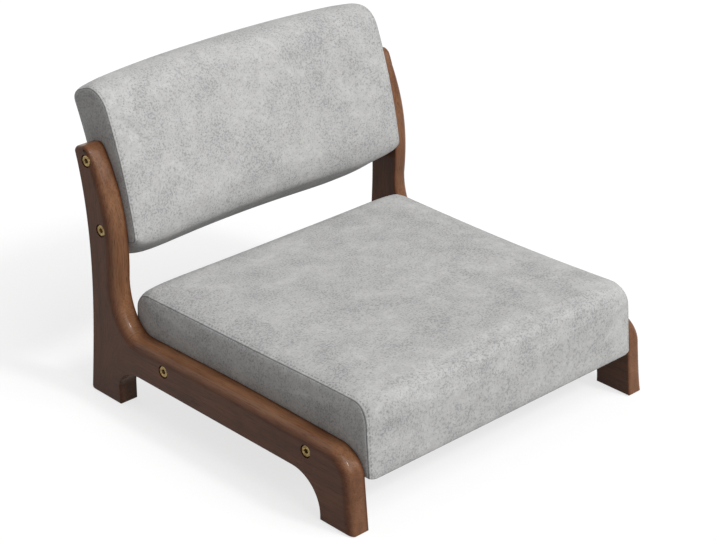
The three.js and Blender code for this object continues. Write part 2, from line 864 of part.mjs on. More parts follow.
for (const { name, side } of sides) {
  const joints = [
    ...seat_bolts.map((bolt) => ({ bolt, face: base_half })),
    ...back_bolts.map((bolt) => ({ bolt, face: core_half })),
  ];
  for (const { bolt, face } of joints) {
    place(`${name}_${bolt.name}_bolt`, connector_bolt(side, bolt), antique_brass());
    place(`${name}_${bolt.name}_insert`, threaded_insert(side, face, bolt), zinc());
  }
}

// The origin sits on the floor under the middle of the whole chair
const extent = new THREE.Box3().setFromObject(chair);
assembly.position.y = -(extent.min.y + extent.max.y) / 2;

export default chair;
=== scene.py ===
# A low legless lounge chair: two one-piece walnut side boards, an upholstered seat and an
# upholstered backrest bolted between them. Everything is in metres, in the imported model's frame:
# X across the chair, -Y its front, Z up. Left and right are as seen from the front.
import math

import bmesh
import bpy
from mathutils import Matrix, Vector
from mathutils.geometry import interpolate_bezier, intersect_point_line


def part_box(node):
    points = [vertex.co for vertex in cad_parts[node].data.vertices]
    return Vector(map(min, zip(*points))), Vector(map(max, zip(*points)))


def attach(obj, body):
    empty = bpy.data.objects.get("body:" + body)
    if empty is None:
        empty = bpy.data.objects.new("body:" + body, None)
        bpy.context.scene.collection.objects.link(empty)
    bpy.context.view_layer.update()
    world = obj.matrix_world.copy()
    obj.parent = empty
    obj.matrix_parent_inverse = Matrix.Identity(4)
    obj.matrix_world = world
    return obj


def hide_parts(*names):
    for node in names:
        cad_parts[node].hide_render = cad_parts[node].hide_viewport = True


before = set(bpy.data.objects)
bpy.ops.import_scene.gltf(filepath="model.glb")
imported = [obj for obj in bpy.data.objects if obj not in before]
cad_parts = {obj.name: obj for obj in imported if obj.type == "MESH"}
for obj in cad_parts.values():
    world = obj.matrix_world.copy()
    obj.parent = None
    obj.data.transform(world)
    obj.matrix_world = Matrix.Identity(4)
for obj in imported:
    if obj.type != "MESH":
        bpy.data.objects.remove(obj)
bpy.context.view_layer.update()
mm = 0.001
sides = (("left", -1), ("right", 1))

# Side boards. Each is one L-shaped board of stained walnut, 26 mm thick, with the upright, the
# rail and both feet sawn in one piece. A router has rounded its outer upper edge and left the
# arch crisp, and four counterbores take the heads of the bolts.
board_low, board_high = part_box("right_side_frame")
feet_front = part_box("left_side_frame")[0].y


def trace(start, stretches):
    """Points round an outline, in mm, and the value that each carries. A stretch has no handles
    where it is straight, one where it rounds a corner and two where it is a free curve."""
    points, values = [], []
    pen = Vector(start)
    for via, end, steps, first, last in stretches:
        end = Vector(end)
        handles = [Vector(handle) for handle in via]
        if not handles:
            handles = [pen.lerp(end, 1 / 3), pen.lerp(end, 2 / 3)]
        elif len(handles) == 1:
            handles = [pen.lerp(handles[0], 0.5523), end.lerp(handles[0], 0.5523)]
        curve = interpolate_bezier(pen, *handles, end, steps + 1)[:-1]
        points += [(point[0], point[1]) for point in curve]
        values += [first + (last - first) * step / steps for step in range(steps)]
        pen = end
    return points, values


def finished(name, bm, material):
    """A named object from a bmesh, with its one material, that rides on the one body."""
    mesh = bpy.data.meshes.new(name)
    bm.to_mesh(mesh)
    bm.free()
    mesh.materials.append(material)
    piece = bpy.data.objects.new(name, mesh)
    bpy.context.scene.collection.objects.link(piece)
    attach(piece, "root")
    return piece


def apply_modifiers(piece):
    """The modifiers' result becomes the mesh itself."""
    bpy.context.view_layer.update()
    shaped = piece.evaluated_get(bpy.context.evaluated_depsgraph_get())
    mesh = bpy.data.meshes.new_from_object(shaped)
    piece.modifiers.clear()
    piece.data = mesh


def turned(bm, profile, at, side=1, steps=48, axis=(1, 0, 0)):
    """A shape turned about a line through a point, from pairs of radius and distance along."""
    along = Vector(axis) * side
    out = Vector((0, 1, 0))
    ring = [bm.verts.new(at + (along * reach + out * radius) * mm) for radius, reach in profile]
    wire = [bm.edges.new(pair) for pair in zip(ring, ring[1:])]
    bmesh.ops.spin(
        bm, geom=ring + wire, cent=at, axis=axis, angle=math.tau, steps=steps, use_merge=True
    )
    bmesh.ops.remove_doubles(bm, verts=bm.verts[:], dist=0.001 * mm)
    bmesh.ops.recalc_face_normals(bm, faces=bm.faces[:])


def linear(code):
    """A colour written as sRGB hex, for a shader socket."""
    parts = [int(code[i:i + 2], 16) / 255 for i in (1, 3, 5)]
    return [p / 12.92 if p <= 0.04045 else ((p + 0.055) / 1.055) ** 2.4 for p in parts] + [1]


def add(tree, kind, settings, inputs):
    """A node with its settings, and each input set to a value or joined to another's output. An
    input goes by its name, or by its number where the node has several of one name."""
    node = tree.nodes.new("ShaderNode" + kind)
    for key, value in settings.items():
        setattr(node, key, value)
    for key, value in inputs.items():
        if isinstance(value, bpy.types.NodeSocket):
            tree.links.new(value, node.inputs[key])
        else:
            node.inputs[key].default_value = value
    return node


def new_material(name):
    """An empty material of a name, and its node tree."""
    material = bpy.data.materials.new(name)
    material.use_nodes = True
    material.node_tree.nodes.clear()
    return material, material.node_tree


# Walnut, stained dark and sealed with a satin lacquer. The grain is a few mm wide and runs along
# each limb, with fine dark pores, and the lacquer gives small soft highlights on rounded edges.
walnut, tree = new_material("stained_walnut_satin_lacquer")
place = add(tree, "TexCoord", {}, {}).outputs["Object"]
parts = add(tree, "SeparateXYZ", {}, {"Vector": place})
# the grain turns up from the rail into the upright on a slant from the crook to the rear foot
turn_slope = 1.8
turn_start = turn_slope * (feet_front + 397 * mm) + 70 * mm
turn_end = turn_slope * (feet_front + 427 * mm) + 90 * mm
slant = add(tree, "Math", {"operation": "MULTIPLY_ADD"}, {
    0: parts.outputs["Y"], 1: turn_slope, 2: parts.outputs["Z"],
})
upright_share = add(tree, "MapRange", {"interpolation_type": "SMOOTHSTEP"}, {
    "Value": slant.outputs[0], "From Min": turn_start, "From Max": turn_end,
})
rail_grain = add(tree, "Mapping", {}, {
    "Vector": place, "Scale": (1, 0.045, 1), "Rotation": (0.02, 0, 0.01),
})
upright_grain = add(tree, "Mapping", {}, {
    "Vector": place, "Scale": (1, 1, 0.045), "Rotation": (-0.12, 0.01, 0),
})
grain_place = add(tree, "Mix", {"data_type": "VECTOR"}, {
    0: upright_share.outputs[0], 4: rail_grain.outputs[0], 5: upright_grain.outputs[0],
})
figure = add(tree, "TexNoise", {}, {
    "Vector": grain_place.outputs[1], "Scale": 1 / (9 * mm), "Detail": 5, "Roughness": 0.6,
    "Distortion": 0.4,
})
pores = add(tree, "TexNoise", {}, {
    "Vector": grain_place.outputs[1], "Scale": 1 / (1.1 * mm), "Detail": 3, "Roughness": 0.7,
})
stain = add(tree, "TexNoise", {}, {"Vector": place, "Scale": 1 / (60 * mm), "Detail": 2})
figure_share = add(tree, "MapRange", {}, {
    "Value": figure.outputs[0], "From Min": 0.3, "From Max": 0.7,
})
pore_share = add(tree, "MapRange", {}, {
    "Value": pores.outputs[0], "From Min": 0.5, "From Max": 0.72,
})
heartwood = add(tree, "Mix", {"data_type": "RGBA"}, {
    0: figure_share.outputs[0], 6: linear("#6b4933"), 7: linear("#855e43"),
})
pored = add(tree, "Mix", {"data_type": "RGBA"}, {
    0: pore_share.outputs[0], 6: heartwood.outputs[2], 7: linear("#4d3322"),
})
stain_share = add(tree, "MapRange", {}, {
    "Value": stain.outputs[0], "From Min": 0.35, "From Max": 0.7, "To Max": 0.5,
})
stained = add(tree, "Mix", {"data_type": "RGBA", "blend_type": "MULTIPLY"}, {
    0: stain_share.outputs[0], 6: pored.outputs[2], 7: linear("#b89c8c"),
})
# painted shade: the flat side faces are darkened against the routed edges, the front and the top
board_middle = (board_low.x + board_high.x) / 2
off_chair = add(tree, "Math", {"operation": "ABSOLUTE"}, {0: parts.outputs["X"]})
off_board = add(tree, "Math", {"operation": "SUBTRACT"}, {0: off_chair.outputs[0], 1: board_middle})
off_board = add(tree, "Math", {"operation": "ABSOLUTE"}, {0: off_board.outputs[0]})
painted_face_shade_share = add(tree, "MapRange", {"interpolation_type": "SMOOTHSTEP"}, {
    "Value": off_board.outputs[0], "From Min": 7 * mm, "From Max": 12.8 * mm,
})
face_shade_painted = add(tree, "Mix", {"data_type": "RGBA", "blend_type": "MULTIPLY"}, {
    0: painted_face_shade_share.outputs[0], 6: stained.outputs[2], 7: linear("#cdb9aa"),
})
lacquer_wear = add(tree, "MapRange", {}, {
    "Value": figure.outputs[0], "To Min": 0.3, "To Max": 0.45,
})
grain_bump = add(tree, "Bump", {}, {
    "Strength": 0.12, "Distance": 0.2 * mm, "Height": pores.outputs[0],
})
shader = add(tree, "BsdfPrincipled", {}, {
    "Base Color": face_shade_painted.outputs[2], "Roughness": lacquer_wear.outputs[0],
    "Normal": grain_bump.outputs[0], "Specular IOR Level": 0.03, "Coat Weight": 0.26,
    "Coat Roughness": 0.17,
})
add(tree, "OutputMaterial", {}, {"Surface": shader.outputs[0]})

# The outline is traced backwards along the floor line, up the rear and down the front, with the
# radius of the outer edge at each point. Sizes are in mm, back from the front foot and up.
sole, arch_top, rail_top = 1, 52, 97
toe, heel, depth = 52, 408, 464
crook, tip = 411, 473
sawn_edge, top_edge, crook_edge, rail_edge = 1.5, 4, 13, 11
board_points, edge_radii = trace((0, sole), [
    ([], (toe, sole), 1, 2, sawn_edge),
    ([], (toe, sole + 7), 1, sawn_edge, sawn_edge),
    ([(toe, arch_top)], (toe + 45, arch_top), 14, sawn_edge, sawn_edge),
    ([], (heel - 38, arch_top), 1, sawn_edge, sawn_edge),
    ([(heel, arch_top)], (heel, arch_top - 28), 12, sawn_edge, sawn_edge),
    ([], (heel, sole), 1, sawn_edge, sawn_edge),
    ([], (depth - 4, sole), 1, sawn_edge, sawn_edge),
    ([(depth, sole)], (depth, sole + 4), 3, sawn_edge, sawn_edge),
    ([(453.2, 107), (442.4, 213)], (tip, 313), 26, 1.6, top_edge),
    ([(tip, 319.5)], (tip - 6.5, 320.6), 6, top_edge, top_edge),
    ([], (tip - 15.5, 323.2), 1, top_edge, top_edge),
    ([(450.5, 325)], (444.8, 316), 7, 3.8, 3.8),
    ([], (437, 303), 5, 4.5, 9.5),
    ([(416.3, 264.8), (405, 223.9)], (crook, 160), 24, 9.5, crook_edge),
    ([(crook, rail_top)], (crook - 40, rail_top), 16, crook_edge, 12),
    ([(207, 100), (207, 100)], (43, rail_top), 20, 12, rail_edge),
    ([(6, rail_top)], (6, 62), 16, rail_edge, rail_edge),
    ([], (0, sole), 14, rail_edge, rail_edge),
])
widest_edge = max(edge_radii)
inner_edge = 1.2
bore_radius, bore_length = 3.3, 34
counterbore_radius, counterbore_depth, overrun = 8, 3.8, 6
counterbore = [
    (0, -bore_length), (bore_radius, -bore_length), (bore_radius, -counterbore_depth),
    (counterbore_radius, -counterbore_depth), (counterbore_radius, overrun), (0, overrun),
]
joints = ("seat_front", "seat_rear", "back_lower", "back_upper")

for name, side in sides:
    inner = side * board_low.x
    bm = bmesh.new()
    number = bm.verts.layers.int.new("number")
    corners = []
    for place_along, (y, z) in enumerate(board_points):
        corner = bm.verts.new((inner, feet_front + y * mm, z * mm))
        corner[number] = place_along
        corners.append(corner)
    sawn = bmesh.ops.extrude_face_region(bm, geom=[bm.faces.new(corners)])["geom"]
    outer = [part for part in sawn if isinstance(part, bmesh.types.BMVert)]
    bmesh.ops.translate(bm, verts=outer, vec=(side * (board_high.x - board_low.x), 0, 0))
    bmesh.ops.recalc_face_normals(bm, faces=bm.faces[:])
    radius_share = bm.edges.layers.float.new("bevel_weight_edge")
    for edge in bm.edges:
        first, second = sorted(vert[number] for vert in edge.verts)
        if first != second:
            closing = second - first > 1
            radius = edge_radii[second if closing else first]
            outside = abs(edge.verts[0].co.x) > abs(inner) + 1 * mm
            edge[radius_share] = (radius if outside else inner_edge) / widest_edge
    bm.verts.layers.int.remove(number)
    board = finished(f"{name}_side_board", bm, walnut)
    rounding = board.modifiers.new("router", "BEVEL")
    rounding.limit_method = "WEIGHT"
    rounding.width = widest_edge * mm
    rounding.segments = 8
    rounding.use_clamp_overlap = False
    bm = bmesh.new()
    for joint in joints:
        low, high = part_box(f"{name}_{joint}_bolt")
        middle = (low + high) / 2
        turned(bm, counterbore, Vector((side * board_high.x, middle.y, middle.z)), side)
    drill = finished(f"{name}_drill", bm, walnut)
    bore = board.modifiers.new("bore", "BOOLEAN")
    bore.object = drill
    bore.solver = "EXACT"
    apply_modifiers(board)
    bpy.data.objects.remove(drill)
    board.data.shade_smooth()
    board.data.set_sharp_from_angle(angle=math.radians(32))
    weighted = board.modifiers.new("flat_faces", "WEIGHTED_NORMAL")
    weighted.keep_sharp = True
    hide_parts(f"{name}_side_frame")

# Connector bolts, eight in antique brass, two through each board into each pad. The head is a
# rounded ring about a sunk hexagon socket, and it sits just under the board's face.

# Antique brass plate is a warm metal with brown tarnish in patches a few mm wide, and it is
# duller there.
antique_brass, tree = new_material("antique_brass_plate")
place = add(tree, "TexCoord", {}, {}).outputs["Object"]
tarnish = add(tree, "TexNoise", {}, {"Vector": place, "Scale": 1 / (2.5 * mm), "Detail": 4})
tarnish_share = add(tree, "MapRange", {}, {
    "Value": tarnish.outputs[0], "From Min": 0.4, "From Max": 0.7,
})
brass = add(tree, "Mix", {"data_type": "RGBA"}, {
    0: tarnish_share.outputs[0], 6: linear("#a08a5c"), 7: linear("#5e4d31"),
})
dullness = add(tree, "MapRange", {}, {
    "Value": tarnish.outputs[0], "To Min": 0.25, "To Max": 0.55,
})
shader = add(tree, "BsdfPrincipled", {}, {
    "Base Color": brass.outputs[2], "Metallic": 1, "Roughness": dullness.outputs[0],
})
add(tree, "OutputMaterial", {}, {"Surface": shader.outputs[0]})

bolt_length, shank_radius, head_radius, head_height = 44, 3, 7.2, 3
head_seat, dish, socket_corner, socket_floor = 3.5, 2.3, 3.46, -0.4
bolt_profile = [
    (0, -bolt_length), (2.2, -bolt_length), (shank_radius, 1.5 - bolt_length), (shank_radius, 0),
    (7.1, 0), (head_radius, 0.4), (head_radius, 1.6), (6.9, 2.4), (6.2, 2.9), (5.4, head_height),
    (4.7, 2.7), (4.4, dish), (0, dish),
]
key_profile = [(0, socket_floor), (socket_corner, socket_floor), (socket_corner, 6), (0, 6)]
for name, side in sides:
    for joint in joints:
        low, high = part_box(f"{name}_{joint}_bolt")
        middle = (low + high) / 2
        root = Vector((side * (board_high.x - head_seat * mm), middle.y, middle.z))
        bm = bmesh.new()
        turned(bm, bolt_profile, root, side)
        bolt = finished(f"{name}_{joint}_connector_bolt", bm, antique_brass)
        bm = bmesh.new()
        turned(bm, key_profile, root, side, steps=6)
        key = finished(f"{name}_{joint}_key", bm, antique_brass)
        socket = bolt.modifiers.new("socket", "BOOLEAN")
        socket.object = key
        socket.solver = "EXACT"
        apply_modifiers(bolt)
        bpy.data.objects.remove(key)
        bolt.data.shade_smooth()
        bolt.data.set_sharp_from_angle(angle=math.radians(35))
        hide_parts(f"{name}_{joint}_bolt")

# Seat pad. Foam on a wooden base in light grey faux-suede: one panel wraps over the front, top
# and rear, and a flat boxing panel is sewn to it on each side. The foam crowns the top, and the
# seams draw the sides in.

# Faux suede is a brushed polyester cloth, quite matt. Its nap lies unevenly, which shows as soft
# clouds a few cm wide and a fine dark speckle, and each seam is a thin dark line.
suede, tree = new_material("faux_suede_upholstery_cloth")
place = add(tree, "TexCoord", {}, {}).outputs["Object"]
clouds = add(tree, "TexNoise", {}, {
    "Vector": place, "Scale": 1 / (42 * mm), "Detail": 5, "Roughness": 0.62, "Distortion": 0.3,
})
fibres = add(tree, "TexNoise", {}, {
    "Vector": place, "Scale": 1 / (2.4 * mm), "Detail": 3, "Roughness": 0.75,
})
nap = add(tree, "TexNoise", {}, {
    "Vector": place, "Scale": 1 / (11 * mm), "Detail": 3, "Roughness": 0.6, "Distortion": 0.6,
})
cloud_share = add(tree, "MapRange", {}, {
    "Value": clouds.outputs[0], "From Min": 0.36, "From Max": 0.66,
})
nap_share = add(tree, "MapRange", {}, {
    "Value": nap.outputs[0], "From Min": 0.38, "From Max": 0.68,
})
cloudy = add(tree, "Mix", {"data_type": "RGBA"}, {
    0: cloud_share.outputs[0], 6: linear("#bbbbb9"), 7: linear("#b0b0af"),
})
napped = add(tree, "Mix", {"data_type": "RGBA"}, {
    0: nap_share.outputs[0], 6: cloudy.outputs[2], 7: linear("#afaead"),
})
# the specks crowd together where the cloth is rubbed darker
crowding = add(tree, "Math", {"operation": "MULTIPLY_ADD"}, {
    0: cloud_share.outputs[0], 1: 0.1, 2: fibres.outputs[0],
})
speck_amount = add(tree, "MapRange", {}, {
    "Value": crowding.outputs[0], "From Min": 0.52, "From Max": 0.7, "To Max": 0.6,
})
specked = add(tree, "Mix", {"data_type": "RGBA"}, {
    0: speck_amount.outputs[0], 6: napped.outputs[2], 7: linear("#737375"),
})
gap = add(tree, "Attribute", {"attribute_name": "seam_gap"}, {}).outputs["Fac"]
run = add(tree, "Attribute", {"attribute_name": "seam_run"}, {}).outputs["Fac"]
seam_near = add(tree, "Math", {"operation": "ABSOLUTE"}, {0: gap})
seam_line = add(tree, "MapRange", {"interpolation_type": "SMOOTHSTEP"}, {
    "Value": seam_near.outputs[0], "From Min": 0.3, "From Max": 1.4, "To Min": 1, "To Max": 0,
})
# a topstitch 4 mm in from the seam: 3 mm stitches with 2 mm between them
off_stitch = add(tree, "Math", {"operation": "SUBTRACT"}, {0: gap, 1: 4})
off_stitch = add(tree, "Math", {"operation": "ABSOLUTE"}, {0: off_stitch.outputs[0]})
beside = add(tree, "MapRange", {}, {
    "Value": off_stitch.outputs[0], "From Min": 0.5, "From Max": 1, "To Min": 1, "To Max": 0,
})
along_stitch = add(tree, "Math", {"operation": "PINGPONG"}, {0: run, 1: 2.5})
within = add(tree, "MapRange", {}, {
    "Value": along_stitch.outputs[0], "From Min": 0.8, "From Max": 1.2,
})
stitch = add(tree, "Math", {"operation": "MULTIPLY"}, {0: beside.outputs[0], 1: within.outputs[0]})
seam_dark = add(tree, "Math", {"operation": "MULTIPLY"}, {0: seam_line.outputs[0], 1: 0.65})
sewn = add(tree, "Mix", {"data_type": "RGBA"}, {
    0: seam_dark.outputs[0], 6: specked.outputs[2], 7: linear("#4a4748"),
})
stitch_dark = add(tree, "Math", {"operation": "MULTIPLY"}, {0: stitch.outputs[0], 1: 0.4})
stitched = add(tree, "Mix", {"data_type": "RGBA"}, {
    0: stitch_dark.outputs[0], 6: sewn.outputs[2], 7: linear("#636161"),
})
# painted shade: the boxing panels at the ends are darkened away from their seams, as the chair's sides
# in shade
painted_end_shade = add(tree, "MapRange", {}, {
    "Value": gap, "From Min": -9, "From Max": -0.5, "To Min": 0.3, "To Max": 0,
})
end_shade_painted = add(tree, "Mix", {"data_type": "RGBA", "blend_type": "MULTIPLY"}, {
    0: painted_end_shade.outputs[0], 6: stitched.outputs[2], 7: linear("#cfcbc8"),
})
cloth_height = add(tree, "Math", {"operation": "MULTIPLY_ADD"}, {
    0: nap.outputs[0], 1: 0.6, 2: fibres.outputs[0],
})
grooved = add(tree, "Math", {"operation": "MULTIPLY_ADD"}, {
    0: seam_line.outputs[0], 1: -1.2, 2: cloth_height.outputs[0],
})
# the thread gathers the cloth into shallow puckers 14 mm apart, which die out over 14 mm
uneven_run = add(tree, "Math", {"operation": "MULTIPLY_ADD"}, {0: nap.outputs[0], 1: 12, 2: run})
gathered = add(tree, "Math", {"operation": "MULTIPLY"}, {0: uneven_run.outputs[0], 1: math.tau / 14})
gathered = add(tree, "Math", {"operation": "SINE"}, {0: gathered.outputs[0]})
dying_out = add(tree, "MapRange", {"interpolation_type": "SMOOTHSTEP"}, {
    "Value": seam_near.outputs[0], "From Min": 1, "From Max": 14, "To Min": 0.7, "To Max": 0,
})
puckered = add(tree, "Math", {"operation": "MULTIPLY_ADD"}, {
    0: gathered.outputs[0], 1: dying_out.outputs[0], 2: grooved.outputs[0],
})
cloth_bump = add(tree, "Bump", {}, {
    "Strength": 0.45, "Distance": 0.7 * mm, "Height": puckered.outputs[0],
})
shader = add(tree, "BsdfPrincipled", {}, {
    "Base Color": end_shade_painted.outputs[2], "Roughness": 0.9, "Normal": cloth_bump.outputs[0],
    "Sheen Weight": 0.1, "Sheen Roughness": 0.5, "Specular IOR Level": 0.15,
})
add(tree, "OutputMaterial", {}, {"Surface": shader.outputs[0]})


pad_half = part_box("seat_cover")[1].x / mm
on_seam, seam_reach = 0.01, 12
boxing_shares = (0.94, 0.92, 0.88, 0.82, 0.72, 0.55)


def nearest_on_seam(flat, sewn_edge):
    """How far a point of a boxing panel is from the seam, how far along that is, and where."""
    found = []
    for start, end, travelled in sewn_edge:
        share = min(max(intersect_point_line(flat, start, end)[1], 0), 1)
        at = start.lerp(end, share)
        found.append(((flat - at).length, travelled + (end - start).length * share, at))
    return min(found, key=lambda place: place[0])


def sewn_pad(name, outline, rings, crown, roll, pull, place_on):
    """A pad drawn out across the chair in rings from its end outline, with a boxing panel at
    each end. The wrap panel rolls over to the two seams, and the thread pulls these in."""
    points, crowns = outline
    bm = bmesh.new()
    crown_share = bm.verts.layers.float.new("crown_share")
    seam_run = bm.verts.layers.float.new("seam_run")
    corners, sewn_edge = [], []
    travelled = 0
    for (y, z), share, after in zip(points, crowns, points[1:] + points[:1]):
        corner = bm.verts.new((-pad_half * mm, feet_front + y * mm, z * mm))
        corner[crown_share], corner[seam_run] = share, travelled
        corners.append(corner)
        sewn_edge.append((Vector((y, z)), Vector(after), travelled))
        travelled += math.dist((y, z), after)
    # This operator takes the sides in the same order on each run, so the cloth swells alike
    # each time. It leaves the first end open, and that end is closed again.
    far = bmesh.ops.extrude_discrete_faces(bm, faces=[bm.faces.new(corners)])["faces"]
    bmesh.ops.translate(bm, verts=far[0].verts[:], vec=(2 * pad_half * mm, 0, 0))
    bm.faces.new(corners)
    bmesh.ops.recalc_face_normals(bm, faces=bm.faces[:])
    panels = [face for face in bm.faces if len(face.verts) == len(points)]
    long = [edge for edge in bm.edges if edge.calc_length() > pad_half * mm]
    bmesh.ops.subdivide_edges(bm, edges=long, cuts=rings - 1)
    for panel in panels:
        about = Matrix.Translation(-panel.calc_center_median())
        for share in boxing_shares:
            bmesh.ops.inset_individual(bm, faces=[panel], thickness=0)
            bmesh.ops.scale(bm, verts=panel.verts[:], vec=(1, share, share), space=about)
    bmesh.ops.poke(bm, faces=panels)
    bm.normal_update()

    seam_gap = bm.verts.layers.float.new("seam_gap")
    crease = bm.edges.layers.float.new("crease_edge")
    moved = {}
    for vert in bm.verts:
        station = vert.co.x / (pad_half * mm)
        flat = Vector(((vert.co.y - feet_front) / mm, vert.co.z / mm))
        out = Vector((vert.normal.y, vert.normal.z)).normalized()
        if abs(station) > 0.9999:
            gap, vert[seam_run], at = nearest_on_seam(flat, sewn_edge)
            vert[seam_gap] = -gap
            if gap > on_seam:
                out = (at - flat).normalized()
        else:
            vert[seam_gap] = pad_half - abs(vert.co.x) / mm
            flat += out * crown * vert[crown_share] * (1 - abs(station) ** 10)
        near_seam = (1 - min(abs(vert[seam_gap]) / seam_reach, 1)) ** 2
        x, y, z = place_on(station, flat - out * roll * near_seam)
        x -= math.copysign(pull * near_seam, x)
        moved[vert] = (x * mm, feet_front + y * mm, z * mm)
    for edge in bm.edges:
        if all(abs(vert[seam_gap]) < on_seam for vert in edge.verts):
            edge[crease] = 0.7
    for vert, co in moved.items():
        vert.co = co
    return finished(name, bm, suede)


def stuffed(pad, held_below):
    """The cloth is pinned along its seams and below a height, and blown up by 1.6 mm at most.
    The side boards stop it at both ends."""
    slack = 1.6 * mm
    frames = 20
    start = [vert.co.copy() for vert in pad.data.vertices]
    gaps = [value.value for value in pad.data.attributes["seam_gap"].data]
    sewn_down = pad.vertex_groups.new(name="sewn_down")
    for vert in pad.data.vertices:
        if abs(gaps[vert.index]) < on_seam or vert.co.z < held_below * mm:
            sewn_down.add([vert.index], 1, "REPLACE")
    cloth = pad.modifiers.new("stuffing", "CLOTH").settings
    cloth.vertex_group_mass = "sewn_down"
    cloth.use_pressure = True
    cloth.uniform_pressure_force = 4
    cloth.effector_weights.gravity = 0
    cloth.quality = 5
    for step in range(1, frames + 1):
        bpy.context.scene.frame_set(step)
    apply_modifiers(pad)
    bpy.context.scene.frame_set(1)
    for vert, rest in zip(pad.data.vertices, start):
        swell = vert.co - rest
        if swell.length > 0:
            vert.co = rest + swell.normalized() * slack * math.tanh(swell.length / slack)
    for vert in pad.data.vertices:
        vert.co.x = min(max(vert.co.x, -pad_half * mm), pad_half * mm)
    smoothing = pad.modifiers.new("soft", "SUBSURF")
    smoothing.levels = smoothing.render_levels = 1
    pad.data.shade_smooth()


# The seat's end outline runs back along the underside, up the rear, forwards over the top and
# down the front, in mm back from the front foot and up.
seat_front, seat_rear, seat_underside = -1, 406, 60.5
seat_lip, seat_front_top, seat_rear_top = 4, 151.5, 146.5
seat_hem, rear_turn, front_turn, crisp_turn = 3, 20, 28, 9
turn_y, turn_z = seat_lip + front_turn, seat_front_top - front_turn
seat_dip = (202.5, seat_rear_top)
seat_crown = 5.5
seat_points, seat_crowns = trace((seat_front + seat_hem, seat_underside), [
    ([], (seat_rear - seat_hem, seat_underside), 66, 0, 0),
    ([(seat_rear, seat_underside)], (seat_rear, seat_underside + seat_hem), 2, 0, 0),
    ([], (seat_rear, seat_rear_top - rear_turn), 10, 0, 0.5),
    ([(seat_rear, seat_rear_top)], (seat_rear - rear_turn, seat_rear_top), 8, 0.5, 1),
    ([seat_dip, seat_dip], (turn_y, seat_front_top), 58, 1, 1),
    ([(seat_lip, seat_front_top)], (seat_lip, turn_z), 18, 1, 1),
    ([], (seat_front, seat_underside + seat_hem), 10, 1, 0),
    ([(seat_front, seat_underside)], (seat_front + seat_hem, seat_underside), 2, 0, 0),
])
# between its ends the front edge turns on 9 mm where the end panels turn on 28 mm
crisp_shift = front_turn - crisp_turn
crisp_from = math.atan2(crisp_shift, front_turn)
crisp_centre = crisp_shift * math.sqrt(2)
for i, (y, z) in enumerate(seat_points):
    if y < turn_y and z > turn_z:
        off = abs(math.atan2(z - turn_z, turn_y - y) - math.pi / 4)
        off_face = math.pi / 4 - off
        reach = front_turn / math.cos(off_face)
        if off_face > crisp_from:
            beside = crisp_centre * math.sin(off)
            reach = crisp_centre * math.cos(off) + math.sqrt(crisp_turn ** 2 - beside ** 2)
        seat_crowns[i] += (reach - front_turn) / seat_crown
draw_from, draw_height, end_draw, middle_draw = 105, 41, 3, 4


def seat_place(station, flat):
    """The sides stand straight against the boards and draw in towards the top seam."""
    height_share = min(max((flat.y - draw_from) / draw_height, 0), 1)
    depth_share = min(max((flat.x - seat_front) / (seat_rear - seat_front), 0), 1)
    draw = end_draw + middle_draw * math.sin(math.pi * depth_share)
    return station * (pad_half - draw * height_share ** 3), flat.x, flat.y


seat = sewn_pad(
    "seat_pad", outline=(seat_points, seat_crowns), rings=84, crown=seat_crown, roll=3.5,
    pull=1.5, place_on=seat_place,
)
stuffed(seat, held_below=seat_underside + 1.5)
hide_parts("seat_cover")

# Backrest pad. The same cloth over foam on a bowed panel. It leans back, curls over at the top
# and is hollow across, with an end panel sewn in at each side and a foot that sags at the back.
foot, head = Vector((426, 199.5)), Vector((483, 383))
spine = interpolate_bezier(foot, Vector((436.1, 261.9)), Vector((453.2, 320.4)), head, 65)
spine_length = sum((b - a).length for a, b in zip(spine, spine[1:]))


def off_spine(offset, up):
    """The point so far behind the spine line and so far up it."""
    travelled = 0
    for a, b in zip(spine, spine[1:]):
        along = (b - a).normalized()
        if travelled + (b - a).length >= up or b is spine[-1]:
            on = a + along * (up - travelled)
            return on + Vector((along.y, -along.x)) * offset
        travelled += (b - a).length


# the end outline in offsets from the spine and runs up it, from the front of the foot round the
# rear and over the top
half_depth, back_hem, undercut = 30.5, 5, 6
back_rear_turn, back_front_turn = 14, 34
hem_rise = undercut - back_hem / 2
back_points, back_crowns = trace((back_hem - half_depth, hem_rise), [
    ([], (half_depth - back_hem, -hem_rise), 9, 0, 0),
    ([(half_depth, -undercut)], (half_depth, back_hem - undercut), 2, 0, 0),
    ([], (half_depth, spine_length - back_rear_turn), 36, 0, 0),
    ([(half_depth, spine_length)], (half_depth - back_rear_turn, spine_length), 6, 0, 0.4),
    ([], (back_front_turn - half_depth, spine_length), 3, 0.4, 0.6),
    ([(-half_depth, spine_length)], (-half_depth, spine_length - back_front_turn), 11, 0.6, 1),
    ([], (-half_depth, undercut + back_hem), 30, 1, 0.5),
    ([(-half_depth, undercut)], (back_hem - half_depth, hem_rise), 2, 0.5, 0),
])
back_points = [tuple(off_spine(offset, up)) for offset, up in back_points]
bolt_places = []
for level in ("lower", "upper"):
    low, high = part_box(f"left_back_{level}_bolt")
    middle = (low + high) / 2
    bolt_places.append(Vector((middle.y - feet_front, middle.z)) / mm)
lower_bolt, upper_bolt = bolt_places
core_line = (upper_bolt - lower_bolt).normalized()
back_bow, back_sag, front_sag_share, sag_fade = 19, 35, 0.46, 25


def back_place(station, flat):
    """The whole pad is bowed back in the middle, and its foot sags there, most at the back."""
    behind = (flat - lower_bolt).dot(Vector((core_line.y, -core_line.x)))
    depth_share = (1 + behind / half_depth) / 2
    low_share = min(max((lower_bolt.y - flat.y) / sag_fade, 0), 1)
    sag_share = (front_sag_share + (1 - front_sag_share) * depth_share) * low_share
    drop = back_sag * sag_share * (1 - station ** 8)
    return station * pad_half, flat.x + back_bow * (1 - station ** 2), flat.y - drop


